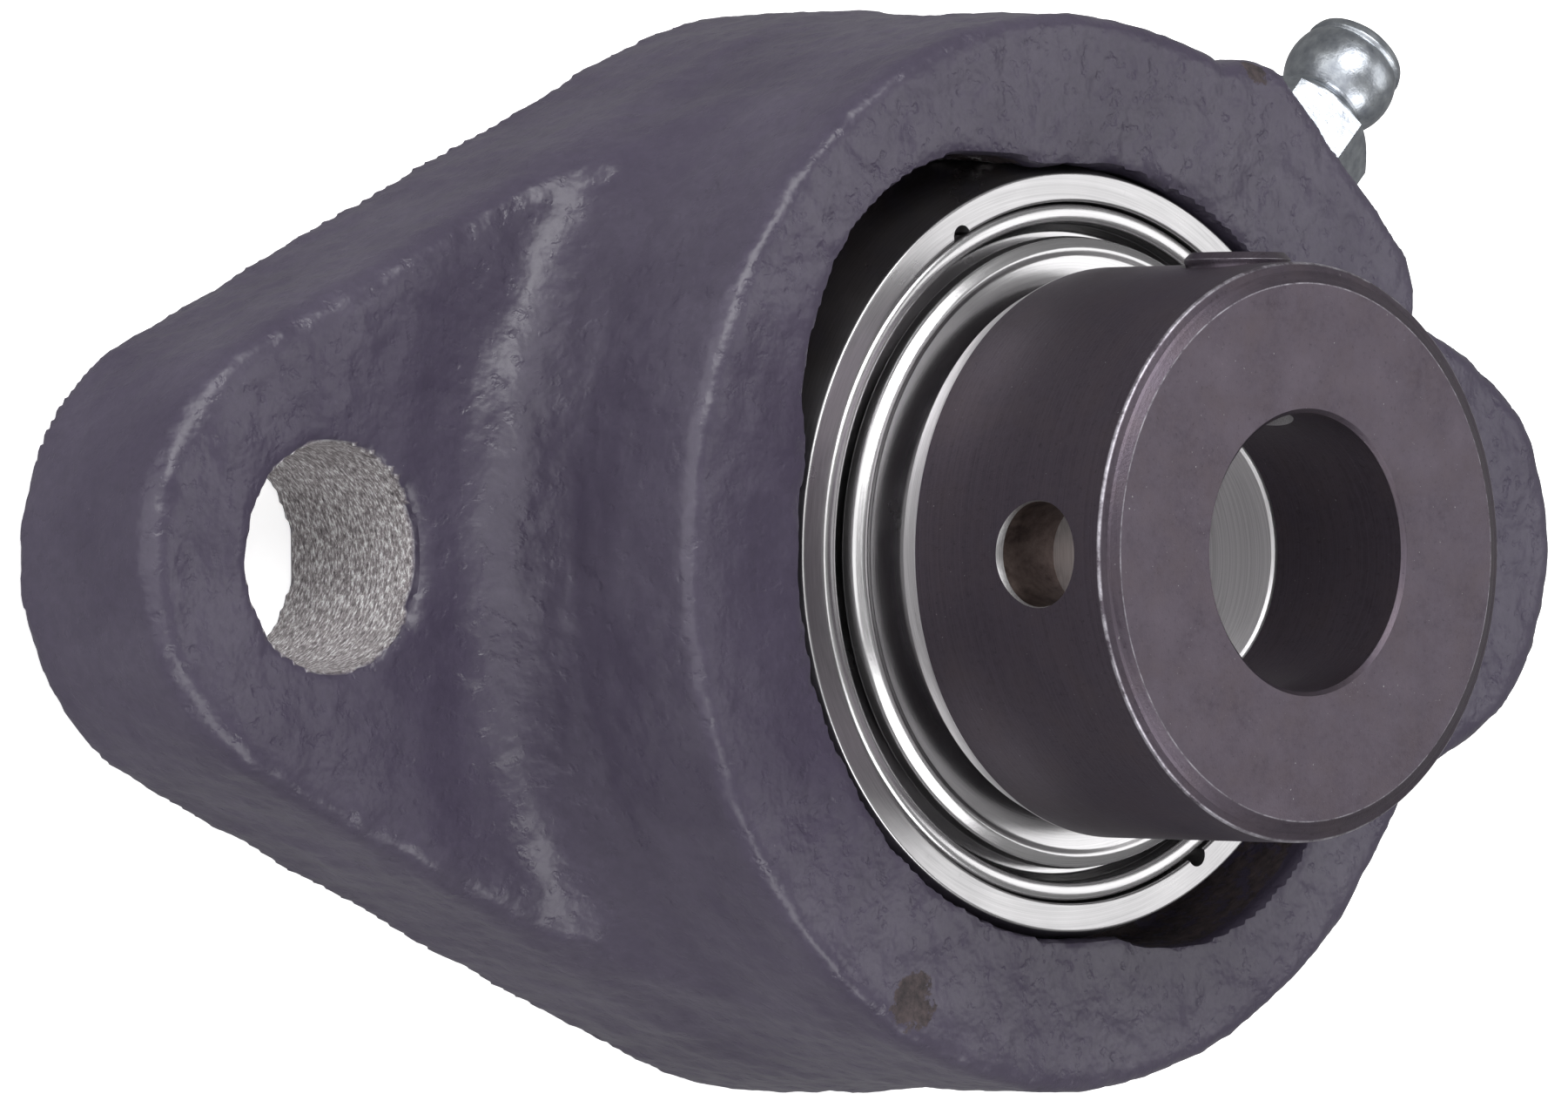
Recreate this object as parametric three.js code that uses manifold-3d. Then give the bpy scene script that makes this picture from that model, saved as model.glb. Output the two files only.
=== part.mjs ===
// A two-bolt flange-mounted ball bearing unit: a cast iron housing holds a
// self-aligning insert bearing, locked on its shaft by an eccentric collar.
// Millimetres. The origin is on the base plane, on the bearing's axis: +Z points
// out of the front of the bearing, and X runs through the two bolt holes.
import * as THREE from 'three';
import * as BufferGeometryUtils from 'three/addons/utils/BufferGeometryUtils.js';
import Module from 'manifold-3d';

const wasm = await Module();
wasm.setup();

// ---------------------------------------------------------------- sizes

// Housing
const BOLT_SPACING = 89.7;         // 3 17/32 in between the bolt holes
const BOLT_HOLE_R = 6.5;
const FLANGE_END_R = 13.7;         // round end, about each bolt hole
const FLANGE_T = 11.5;
const FLANGE_EDGE = 0.8;           // step that stands for the rounded upper edge
const HUB_BASE_R = 32.3;
const HUB_TOP_R = 31.7;
const HUB_FACE_R = 30.7;           // flat front face, inside its rounded edge
const HUB_H = 26.7;
const SADDLE_R = 4.5;              // hollow between the flange and the hub
const SEAT_R = 23.6;               // spherical seat for the insert
const SEAT_FRONT_R = 22.8;         // relief in front of the seat
const SEAT_BACK_R = 21.5;          // relief behind the seat
const SLOT_R = 14.5;               // loading slots: round-sided pockets
const SLOT_OFFSET = 11.7;
const SLOT_ANGLES = [131, 311];
const BOSS_ANGLE = 45;             // flat boss for the grease fitting
const BOSS_FLAT = 32.85;           // its distance from the bearing's axis
const BOSS_HALF_W = 9.1;
const BOSS_ROOT = 26;
const BOSS_ROOT_HALF_W = 14.5;
const BOSS_CORNER = 1.5;

// Insert bearing, measured from the middle of its ball row
const MID_Z = 18.8;
const BALL_R = 7.938 / 2;          // 5/16 in balls
const PITCH_R = 33.5 / 2;
const BALLS = 8;
const RACE_CLEARANCE = 0.12;
const RACE_R = BALL_R * 1.04;      // groove radius
const OUTER_SPHERE_R = 23.5;       // 47 mm spherical outside
const OUTER_HALF_W = 7.5;
const OUTER_BORE_R = 19.3;
const SEAL_SEAT_R = 20.6;
const SEAL_SEAT_FLOOR = 4.7;
const SEAL_SEAT_CHAMFER = 0.3;
const LUBE_GROOVE = [1.5, 4.7];    // round the outer ring, from and to
const LUBE_GROOVE_DEPTH = 0.5;
const LUBE_HOLE_R = 0.6;
const LUBE_HOLE_AT = 3.9;
const INNER_R = 13.8;
const INNER_BACK = -17.4;
const INNER_SHOULDER = 10.8;
const INNER_FRONT = 15.8;
const SHAFT_R = 15.875 / 2;        // 5/8 in shaft
const BORE_CHAMFER = 0.6;
const NOSE_CHAMFER = 0.15;

// Cage: two stamped ribbons riveted between the balls
const CAGE_T = 0.6;
const CAGE_HALF_W = 2.1;           // radially
const CAGE_POCKET_R = BALL_R + 0.2;
const CAGE_SPLIT = 0.02;           // half the gap between the ribbons
const RIVET_R = 0.7;
const RIVET_HOLE_R = 0.78;
const RIVET_HEAD_R = 1.25;
const RIVET_HEAD_H = 0.5;
const RIVET_HEAD_TOP_R = 0.875;
const RIVET_PLAY = 0.04;

// Seals: a pressed steel carrier, a rubber lip in it, and a flinger on the inner ring
const CARRIER_R = 20.5;
const CARRIER_T = 0.45;
const CARRIER_FLOOR = 5.35;
const CARRIER_CROWN = 7.35;
const CARRIER_HEM_R = 19.35;
const CARRIER_EYE_R = 16.3;
const CARRIER_BEAD = 0.3;          // corner of the rolled bead
const CARRIER_LEAN = 0.1;          // the bead's inner side leans by this
const LIP_GAP = 0.1;
const LIP_R = 13.95;
const LIP_T = 0.6;
const FLINGER_R = 18.6;
const FLINGER_BORE_R = 13.85;
const FLINGER_T = 0.5;
const FLINGER_FLOOR = 6.35;
const FLINGER_CROWN = 8.1;
const FLINGER_CROWN_R = 17.7;
const FLINGER_DISH = 1.2;          // radial width of its sloping foot, and of its inner rim
const FLINGER_STEP = 0.2;
const FLINGER_LAND = 1.1;          // height of the inner rim over the floor
const FLINGER_GUTTER = 0.5;        // radial width of the slope inside the crown

// Eccentric locking collar, measured from the base plane
const ECCENTRICITY = 0.8;
const STUB_R = 12.9;               // eccentric nose of the inner ring
const COUNTERBORE_R = STUB_R + 0.25;
const COUNTERBORE_TO = 34.9;
const RECESS_R = 14.15;            // clears the inner ring's full diameter
const RECESS_TO = 29.85;
const COLLAR_R = 33.34 / 2;
const COLLAR_BACK = [16.1, 28.1];
const COLLAR_SHOULDER = 29.6;
const COLLAR_FRONT = 45.0;
const COLLAR_FACE_R = 15.45;       // front face, inside its rounded edge
const COLLAR_EDGE = 0.8;
const COLLAR_ROUND = [16.26, 44.8];   // a point on that edge
const COLLAR_BORE_R = 8.0;
const COLLAR_BORE_CHAMFER = 0.2;
const DRIFT_HOLE_R = 3.0;
const DRIFT_HOLE_DEPTH = 4.5;
const DRIFT_HOLE_ANGLE = 180;

// Set screw, across the collar
const SCREW_Z = 39.4;
const SCREW_ANGLE = 90;
const SCREW_R = 3.1;
const SCREW_HOLE_R = 3.2;
const SCREW_TIP = 9.4;
const SCREW_HEAD = 17.3;            // it stands a little proud of the collar
const SCREW_CUP_R = 2.2;
const SCREW_CUP_LIP = 0.3;
const THREAD_CHAMFER = 0.4;        // the fitting's thread has the same
const SOCKET_R = 3.175 / Math.sqrt(3);
const SOCKET_DEPTH = 3.2;

// Grease fitting, measured along its axis from the boss flat
const FITTING_Z = 20.6;
const FITTING_THREAD_R = 3.05;
const FITTING_THREAD_L = 5;
const FITTING_HOLE_R = 3.15;
const FITTING_HOLE_DEPTH = 5.4;
const PASSAGE_R = 1.5;
const HEX_R = 7.94 / Math.sqrt(3);
const HEX_SPAN = [0.3, 3.9];
const FLARE_R = 3.3;               // the round shoulder between hexagon and neck
const FLARE_TO = 4.6;
const NECK_R = 2.6;
const NECK_AT = 5.2;
const HEAD_R = 3.45;
const HEAD_AT = 7.75;
const HEAD_TIP = 10.7;
const FITTING_BORE_R = 1.6;
const FITTING_INLET_R = 1.0;
const FITTING_MOUTH_R = 0.85;
const SPRING_SHELF = 3.0;
const MOUTH_CONE = [9.0, 10.2];
const CHECK_BALL_R = 1.25;
const CHECK_BALL_AT = 9.1;
const SPRING_R = 1.1;
const SPRING_WIRE_R = 0.18;
const SPRING_TURNS = 5;
const SPRING_GAP = 0.1;

// Facets
const ROUND = 48;
const RING = 36;
const FITTING = 24;
const SMALL = 16;
const TINY = 10;
const END_FACETS = 12;
const FLANK_FACETS = 10;
const RIM_FACETS = 4;
const SADDLE_FACETS = 5;
const SEAT_FACETS = 8;
const HEAD_FACETS = 7;
const SPHERE_FACETS = [5, 2];      // behind the lubrication groove, and in front of it
const BALL_FACETS = [12, 8];
const RACE_FACETS = 6;
const ARCH_FACETS = 12;
const HELIX_STEPS = 8;               // for each turn of the spring
const CUT_PAST = 1;                // how far a cutter runs past a face

// ------------------------------------------------------------ materials

const finish = (color, roughness, metalness) =>
  new THREE.MeshStandardMaterial({ color, roughness, metalness });
const PAINT = finish(0x4b4652, 0.5, 0.1);
const GROUND_STEEL = finish(0xc4c2c0, 0.25, 1.0);
const BALL_STEEL = finish(0xd8d8da, 0.08, 1.0);
const CAGE_STEEL = finish(0x9c9894, 0.45, 1.0);
const SEAL_STEEL = finish(0xb9b8b8, 0.25, 1.0);
const BLACK_OXIDE = finish(0x39343a, 0.4, 0.8);
const ZINC = finish(0xc3c9cc, 0.35, 1.0);
const RUBBER = finish(0x1c1b1d, 0.8, 0.0);

// -------------------------------------------------------------- helpers

const radians = THREE.MathUtils.degToRad;
const degrees = THREE.MathUtils.radToDeg;

// A closed mesh becomes a solid that can be joined and cut. Triangles that shrink to
// a line, such as those at a lathe's axis, are dropped.
function solid(geometry) {
  const bare = geometry.clone();
  bare.deleteAttribute('normal');
  bare.deleteAttribute('uv');
  const merged = BufferGeometryUtils.mergeVertices(bare, 1e-4);
  const index = merged.index.array;
  const kept = [];
  for (let i = 0; i < index.length; i += 3) {
    const [a, b, c] = [index[i], index[i + 1], index[i + 2]];
    if (a !== b && b !== c && c !== a) kept.push(a, b, c);
  }
  const vertProperties = new Float32Array(merged.attributes.position.array);
  const mesh = new wasm.Mesh({ numProp: 3, vertProperties, triVerts: new Uint32Array(kept) });
  return new wasm.Manifold(mesh);
}

// A finished solid goes back to a geometry.
function geometryOf(body) {
  const mesh = body.getMesh();
  const geometry = new THREE.BufferGeometry();
  geometry.setAttribute('position', new THREE.BufferAttribute(mesh.vertProperties, 3));
  geometry.setIndex(new THREE.BufferAttribute(mesh.triVerts, 1));
  geometry.computeVertexNormals();
  return geometry;
}

// A profile of [radius, z] corners turned about Z. The corners run counter-clockwise
// in the (radius, z) plane, so that the faces point out, and a profile that doesn't
// start on the axis closes on itself.
function turned(corners, segments = RING) {
  const profile = corners.map(([r, z]) => new THREE.Vector2(r, z));
  if (corners[0][0] > 0) profile.push(profile[0].clone());
  return new THREE.LatheGeometry(profile, segments).rotateX(Math.PI / 2);
}

// A plain round cutter along Z, between two heights.
function rod(radius, z0, z1, segments = SMALL) {
  return turned([[0, z0], [radius, z0], [radius, z1], [0, z1]], segments);
}

// Points on an arc, from one angle to the other.
function arc(cx, cy, r, from, to, steps) {
  return Array.from({ length: steps + 1 }, (_, i) => {
    const a = radians(from + (to - from) * i / steps);
    return [cx + r * Math.cos(a), cy + r * Math.sin(a)];
  });
}

// Turns what was made along +Z to point outward in the XY plane, at an angle and a height.
function outward(geometry, angle, z) {
  return geometry.rotateY(Math.PI / 2).rotateZ(radians(angle)).translate(0, 0, z);
}

function extruded(points, depth) {
  const shape = new THREE.Shape(points.map(([x, y]) => new THREE.Vector2(x, y)));
  return new THREE.ExtrudeGeometry(shape, { depth, bevelEnabled: false });
}

// The same profile on the other side of the ball row.
const mirrored = (corners) => corners.map(([r, z]) => [r, -z]).reverse();

function part(name, geometry, material) {
  const mesh = new THREE.Mesh(geometry, material);
  mesh.name = name;
  return mesh;
}

// -------------------------------------------------------------- housing

// The plan wraps tightly round the hub and the two flange ends.
function plan(inset) {
  const half = BOLT_SPACING / 2;
  const endR = FLANGE_END_R - inset;
  const hubR = HUB_BASE_R - inset;
  const lean = degrees(Math.asin((hubR - endR) / half));
  const side = [...arc(half, 0, endR, lean - 90, 90 - lean, END_FACETS),
    ...arc(0, 0, hubR, 90 - lean, 90 + lean, FLANK_FACETS)];
  return [...side, ...side.map(([x, y]) => [-x, -y])];
}

function flange() {
  return solid(extruded(plan(0), FLANGE_T - FLANGE_EDGE))
    .add(solid(extruded(plan(FLANGE_EDGE), FLANGE_T)));
}

function hub() {
  const edge = HUB_TOP_R - HUB_FACE_R;
  const rim = arc(HUB_FACE_R, HUB_H - edge, edge, 0, 90, RIM_FACETS);
  return solid(turned([[0, 0], [HUB_BASE_R, 0], ...rim, [0, HUB_H]], ROUND));
}

// A ring with a hollow outer side, kept inside the flange's plan.
function saddle() {
  const foot = HUB_BASE_R + SADDLE_R;
  const hollow = arc(foot, FLANGE_T + SADDLE_R, SADDLE_R, 270, 180, SADDLE_FACETS);
  const root = [HUB_TOP_R - CUT_PAST, FLANGE_T - CUT_PAST];
  const ring = turned([root, [foot, root[1]], ...hollow, [root[0], FLANGE_T + SADDLE_R]], ROUND);
  return solid(ring).intersect(solid(extruded(plan(FLANGE_EDGE), HUB_H)));
}

// The boss fans in from the hub to its flat.
function boss() {
  const upper = [[BOSS_FLAT, BOSS_HALF_W - BOSS_CORNER],
    [BOSS_FLAT - BOSS_CORNER / 2, BOSS_HALF_W + BOSS_CORNER / 4],
    [BOSS_ROOT, BOSS_ROOT_HALF_W]];
  const lower = upper.map(([x, y]) => [x, -y]).reverse();
  return solid(extruded([...lower, ...upper], HUB_H).rotateZ(radians(BOSS_ANGLE)));
}

// The spherical seat, with a wider relief in front and a narrower one behind.
function seat() {
  const from = -degrees(Math.acos(SEAT_BACK_R / SEAT_R));
  const to = degrees(Math.acos(SEAT_FRONT_R / SEAT_R));
  return solid(turned([[0, -CUT_PAST], [SEAT_BACK_R, -CUT_PAST],
    ...arc(0, MID_Z, SEAT_R, from, to, SEAT_FACETS),
    [SEAT_FRONT_R, HUB_H + CUT_PAST], [0, HUB_H + CUT_PAST]], ROUND));
}

function housing() {
  let body = flange().add(hub()).add(saddle()).add(boss()).subtract(seat());
  for (const angle of SLOT_ANGLES) {
    const slot = rod(SLOT_R, MID_Z, HUB_H + CUT_PAST, RING).translate(SLOT_OFFSET, 0, 0);
    body = body.subtract(solid(slot.rotateZ(radians(angle))));
  }
  for (const side of [-1, 1]) {
    const hole = rod(BOLT_HOLE_R, -CUT_PAST, FLANGE_T + CUT_PAST, RING);
    body = body.subtract(solid(hole.translate(side * BOLT_SPACING / 2, 0, 0)));
  }
  const floor = BOSS_FLAT - FITTING_HOLE_DEPTH;
  const thread = rod(FITTING_HOLE_R, floor, BOSS_FLAT + CUT_PAST);
  const passage = rod(PASSAGE_R, SEAT_FRONT_R - CUT_PAST, floor + CUT_PAST);
  for (const bore of [thread, passage]) {
    body = body.subtract(solid(outward(bore, BOSS_ANGLE, FITTING_Z)));
  }
  return part('housing', geometryOf(body), PAINT);
}

// ------------------------------------------------------- insert bearing

function outerRing() {
  const groove = PITCH_R + BALL_R + RACE_CLEARANCE - RACE_R;
  const race = degrees(Math.acos((OUTER_BORE_R - groove) / RACE_R));
  const faceR = Math.sqrt(OUTER_SPHERE_R ** 2 - OUTER_HALF_W ** 2);
  const latitude = (z) => degrees(Math.asin(z / OUTER_SPHERE_R));
  const [grooveFrom, grooveTo] = LUBE_GROOVE;
  const sphere = (from, to, steps) =>
    arc(0, 0, OUTER_SPHERE_R, latitude(from), latitude(to), steps);
  const front = [[faceR, OUTER_HALF_W], [SEAL_SEAT_R + SEAL_SEAT_CHAMFER, OUTER_HALF_W],
    [SEAL_SEAT_R, OUTER_HALF_W - SEAL_SEAT_CHAMFER], [SEAL_SEAT_R, SEAL_SEAT_FLOOR],
    [OUTER_BORE_R, SEAL_SEAT_FLOOR]];
  const back = mirrored(front).slice(0, -1);
  const body = solid(turned([...front, ...arc(groove, 0, RACE_R, race, -race, RACE_FACETS), ...back,
    ...sphere(-OUTER_HALF_W, grooveFrom, SPHERE_FACETS[0]),
    [OUTER_SPHERE_R - LUBE_GROOVE_DEPTH, grooveFrom], [OUTER_SPHERE_R - LUBE_GROOVE_DEPTH, grooveTo],
    ...sphere(grooveTo, OUTER_HALF_W, SPHERE_FACETS[1]).slice(0, -1)], ROUND));
  const hole = rod(LUBE_HOLE_R, OUTER_BORE_R - CUT_PAST, OUTER_SPHERE_R + CUT_PAST, TINY);
  return part('outer_ring',
    geometryOf(body.subtract(solid(outward(hole, BOSS_ANGLE, LUBE_HOLE_AT)))), GROUND_STEEL);
}

// The inner ring ends in a nose whose outside is off-centre from its bore.
function innerRing() {
  const groove = PITCH_R - BALL_R - RACE_CLEARANCE + RACE_R;
  const race = degrees(Math.acos((groove - INNER_R) / RACE_R));
  const wide = SHAFT_R + BORE_CHAMFER;
  const body = solid(turned([[0, INNER_BACK], [INNER_R, INNER_BACK],
    ...arc(groove, 0, RACE_R, 180 + race, 180 - race, RACE_FACETS),
    [INNER_R, INNER_SHOULDER], [0, INNER_SHOULDER]], RING));
  const nose = rod(STUB_R, INNER_SHOULDER - CUT_PAST, INNER_FRONT, RING);
  const bore = turned([[0, INNER_BACK - CUT_PAST], [wide + CUT_PAST, INNER_BACK - CUT_PAST],
    [SHAFT_R, INNER_BACK + BORE_CHAMFER], [SHAFT_R, INNER_FRONT - NOSE_CHAMFER],
    [SHAFT_R + NOSE_CHAMFER + CUT_PAST, INNER_FRONT + CUT_PAST], [0, INNER_FRONT + CUT_PAST]], RING);
  const ring = body.add(solid(nose.translate(ECCENTRICITY, 0, 0))).subtract(solid(bore));
  return part('inner_ring', geometryOf(ring), GROUND_STEEL);
}

function balls() {
  return Array.from({ length: BALLS }, (_, i) => {
    const angle = i * 2 * Math.PI / BALLS;
    const ball = new THREE.SphereGeometry(BALL_R, ...BALL_FACETS).rotateX(Math.PI / 2);
    const mesh = part(`ball_${i + 1}`, ball, BALL_STEEL);
    mesh.position.set(PITCH_R * Math.cos(angle), PITCH_R * Math.sin(angle), 0);
    return mesh;
  });
}

const rivetAngle = (i) => (i + 0.5) * 360 / BALLS;

// One ribbon of the cage: flat between the balls, arched over each of them.
function cageHalf(name, side) {
  const top = CAGE_POCKET_R + CAGE_T;
  const band = (z0, z1) => solid(turned([[PITCH_R - CAGE_HALF_W, z0], [PITCH_R + CAGE_HALF_W, z0],
    [PITCH_R + CAGE_HALF_W, z1], [PITCH_R - CAGE_HALF_W, z1]], ROUND));
  const across = (radius, i) => {
    const drum = rod(radius, PITCH_R - 2 * CAGE_HALF_W, PITCH_R + 2 * CAGE_HALF_W, ARCH_FACETS);
    return solid(outward(drum, i * 360 / BALLS, 0));
  };
  let arches = across(top, 0);
  let pockets = across(CAGE_POCKET_R, 0);
  for (let i = 1; i < BALLS; i += 1) {
    arches = arches.add(across(top, i));
    pockets = pockets.add(across(CAGE_POCKET_R, i));
  }
  let half = band(CAGE_SPLIT, CAGE_SPLIT + CAGE_T)
    .add(arches.intersect(band(CAGE_SPLIT, top + CUT_PAST))).subtract(pockets);
  for (let i = 0; i < BALLS; i += 1) {
    const hole = rod(RIVET_HOLE_R, -CUT_PAST, CAGE_T + CUT_PAST, TINY).translate(PITCH_R, 0, 0);
    half = half.subtract(solid(hole.rotateZ(radians(rivetAngle(i)))));
  }
  const mesh = part(name, geometryOf(half), CAGE_STEEL);
  if (side < 0) mesh.rotation.x = Math.PI;
  return mesh;
}

function rivets() {
  const under = CAGE_SPLIT + CAGE_T + RIVET_PLAY;
  const head = [[RIVET_R, under], [RIVET_HEAD_R, under], [RIVET_HEAD_TOP_R, under + RIVET_HEAD_H],
    [0, under + RIVET_HEAD_H]];
  return Array.from({ length: BALLS }, (_, i) => {
    const mesh = part(`cage_rivet_${i + 1}`, turned([...mirrored(head), ...head], TINY), CAGE_STEEL);
    const angle = radians(rivetAngle(i));
    mesh.position.set(PITCH_R * Math.cos(angle), PITCH_R * Math.sin(angle), 0);
    return mesh;
  });
}

// ---------------------------------------------------------------- seals

// A pressed steel cup: a rolled bead against the outer ring, a floor that runs in.
function sealCarrier() {
  const inside = CARRIER_FLOOR + CARRIER_T;
  return [[CARRIER_EYE_R, CARRIER_FLOOR], [CARRIER_R, CARRIER_FLOOR],
    [CARRIER_R, CARRIER_CROWN - CARRIER_BEAD], [CARRIER_R - CARRIER_BEAD, CARRIER_CROWN],
    [CARRIER_HEM_R + CARRIER_BEAD, CARRIER_CROWN - CARRIER_LEAN],
    [CARRIER_HEM_R, CARRIER_CROWN - 2 * CARRIER_BEAD],
    [CARRIER_HEM_R - CARRIER_LEAN, inside + CARRIER_T],
    [CARRIER_HEM_R - CARRIER_T, inside], [CARRIER_EYE_R, inside]];
}

function sealLip() {
  const outer = CARRIER_EYE_R - LIP_GAP;
  const z = CARRIER_FLOOR - LIP_GAP;
  return [[LIP_R, z], [outer, z], [outer, z + LIP_T], [LIP_R + LIP_T, z + LIP_T]];
}

// A pressed steel disc that turns with the inner ring in front of the seal.
function flinger() {
  const top = FLINGER_FLOOR + FLINGER_T;
  const land = top + FLINGER_LAND;
  return [[FLINGER_BORE_R, FLINGER_FLOOR], [FLINGER_R - FLINGER_DISH, FLINGER_FLOOR + FLINGER_STEP],
    [FLINGER_R, top], [FLINGER_R - FLINGER_STEP, FLINGER_CROWN - 2 * FLINGER_STEP],
    [FLINGER_CROWN_R, FLINGER_CROWN], [FLINGER_CROWN_R - FLINGER_GUTTER, FLINGER_CROWN - FLINGER_STEP],
    [FLINGER_BORE_R + FLINGER_DISH, land], [FLINGER_BORE_R, land]];
}

function seals() {
  const rings = { seal_carrier: [sealCarrier, SEAL_STEEL], seal_lip: [sealLip, RUBBER],
    flinger: [flinger, SEAL_STEEL] };
  return Object.entries(rings).flatMap(([name, [profile, material]]) => [
    part(`front_${name}`, turned(profile()), material),
    part(`rear_${name}`, turned(mirrored(profile())), material)]);
}

// ------------------------------------------------------- locking collar

function lockingCollar() {
  const outside = [[COLLAR_R, COLLAR_SHOULDER], [COLLAR_R, COLLAR_FRONT - COLLAR_EDGE],
    COLLAR_ROUND, [COLLAR_FACE_R, COLLAR_FRONT],
    [COLLAR_BORE_R + COLLAR_BORE_CHAMFER, COLLAR_FRONT],
    [COLLAR_BORE_R, COLLAR_FRONT - COLLAR_BORE_CHAMFER]];
  const blank = solid(turned([[COLLAR_BORE_R, COLLAR_BACK[1]], COLLAR_BACK, ...outside], ROUND));
  const recess = rod(RECESS_R, COLLAR_BACK[1] - CUT_PAST, RECESS_TO, ROUND);
  const counterbore = rod(COUNTERBORE_R, COLLAR_BACK[1], COUNTERBORE_TO, ROUND);
  const drift = rod(DRIFT_HOLE_R, COLLAR_R - DRIFT_HOLE_DEPTH, COLLAR_R + CUT_PAST);
  const screw = rod(SCREW_HOLE_R, COLLAR_BORE_R - CUT_PAST, COLLAR_R + CUT_PAST);
  const cuts = [recess, counterbore.translate(ECCENTRICITY, 0, 0),
    outward(drift, DRIFT_HOLE_ANGLE, SCREW_Z), outward(screw, SCREW_ANGLE, SCREW_Z)];
  const body = cuts.reduce((left, cut) => left.subtract(solid(cut)), blank);
  return part('locking_collar', geometryOf(body), BLACK_OXIDE);
}

function setScrew() {
  const tip = SCREW_R - SCREW_CUP_R;
  const blank = solid(turned([[0, SCREW_TIP + tip / 2], [SCREW_CUP_R - SCREW_CUP_LIP, SCREW_TIP],
    [SCREW_CUP_R, SCREW_TIP], [SCREW_R, SCREW_TIP + tip], [SCREW_R, SCREW_HEAD - THREAD_CHAMFER],
    [SCREW_R - THREAD_CHAMFER, SCREW_HEAD], [0, SCREW_HEAD]], SMALL));
  const socket = rod(SOCKET_R, SCREW_HEAD - SOCKET_DEPTH, SCREW_HEAD + CUT_PAST, 6);
  const screw = geometryOf(blank.subtract(solid(socket)));
  return part('set_screw', outward(screw, SCREW_ANGLE, SCREW_Z), BLACK_OXIDE);
}

// -------------------------------------------------------- grease fitting

function greaseFitting() {
  const below = degrees(Math.asin(NECK_R / HEAD_R));
  const tip = degrees(Math.asin((HEAD_TIP - HEAD_AT) / HEAD_R));
  const [hexFrom, hexTo] = HEX_SPAN;
  const shank = turned([[0, -FITTING_THREAD_L], [FITTING_THREAD_R - THREAD_CHAMFER, -FITTING_THREAD_L],
    [FITTING_THREAD_R, THREAD_CHAMFER - FITTING_THREAD_L], [FITTING_THREAD_R, hexFrom],
    [FLARE_R, hexTo], [FLARE_R, FLARE_TO], [NECK_R, NECK_AT],
    ...arc(0, HEAD_AT, HEAD_R, below - 90, tip, HEAD_FACETS), [0, HEAD_TIP]], FITTING);
  const bore = turned([[0, -FITTING_THREAD_L - CUT_PAST], [FITTING_INLET_R, -FITTING_THREAD_L - CUT_PAST],
    [FITTING_INLET_R, SPRING_SHELF], [FITTING_BORE_R, SPRING_SHELF], [FITTING_BORE_R, MOUTH_CONE[0]],
    [FITTING_MOUTH_R, MOUTH_CONE[1]], [FITTING_MOUTH_R, HEAD_TIP + CUT_PAST],
    [0, HEAD_TIP + CUT_PAST]], SMALL);
  const hexagon = solid(rod(HEX_R, hexFrom, hexTo, 6));
  return part('grease_fitting', geometryOf(solid(shank).add(hexagon).subtract(solid(bore))), ZINC);
}

function checkBall() {
  const sphere = new THREE.SphereGeometry(CHECK_BALL_R, ...BALL_FACETS);
  const ball = part('grease_check_ball', sphere, BALL_STEEL);
  ball.position.z = CHECK_BALL_AT;
  return ball;
}

class Helix extends THREE.Curve {
  constructor(radius, length, turns) {
    super();
    Object.assign(this, { radius, length, turns });
  }

  getPoint(t, target = new THREE.Vector3()) {
    const a = t * this.turns * 2 * Math.PI;
    return target.set(this.radius * Math.cos(a), this.radius * Math.sin(a), t * this.length);
  }
}

function greaseSpring() {
  const from = SPRING_SHELF + SPRING_GAP + SPRING_WIRE_R;
  const to = CHECK_BALL_AT - CHECK_BALL_R - SPRING_GAP - SPRING_WIRE_R;
  const wire = new THREE.Shape(arc(0, 0, SPRING_WIRE_R, 0, 288, 4)
    .map(([x, y]) => new THREE.Vector2(x, y)));
  const spring = new THREE.ExtrudeGeometry(wire, {
    steps: SPRING_TURNS * HELIX_STEPS, bevelEnabled: false,
    extrudePath: new Helix(SPRING_R, to - from, SPRING_TURNS) });
  return part('grease_spring', spring.translate(0, 0, from), GROUND_STEEL);
}

// ------------------------------------------------------------- assembly

const insert = new THREE.Group();
insert.position.z = MID_Z;
insert.add(outerRing(), innerRing(), ...balls(), cageHalf('cage_front', 1),
  cageHalf('cage_rear', -1), ...rivets(), ...seals());

// The fitting's own +Z points out of the boss.
const fitting = new THREE.Group();
const bossAngle = radians(BOSS_ANGLE);
fitting.position.set(BOSS_FLAT * Math.cos(bossAngle), BOSS_FLAT * Math.sin(bossAngle), FITTING_Z);
fitting.rotation.set(0, Math.PI / 2, bossAngle, 'ZYX');
fitting.add(greaseFitting(), checkBall(), greaseSpring());

const bearing = new THREE.Group();
bearing.add(housing(), insert, lockingCollar(), setScrew(), fitting);

export default bearing;
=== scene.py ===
# The looks of a two-bolt flange mount bearing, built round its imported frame.
# Shapes are worked out in millimetres and made in metres. The origin is on the base
# plane, on the bearing's axis: +Z points out of the front, X runs through the bolts.
import math

import bmesh
import bpy
from mathutils import Euler, Matrix, Vector, noise


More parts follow.
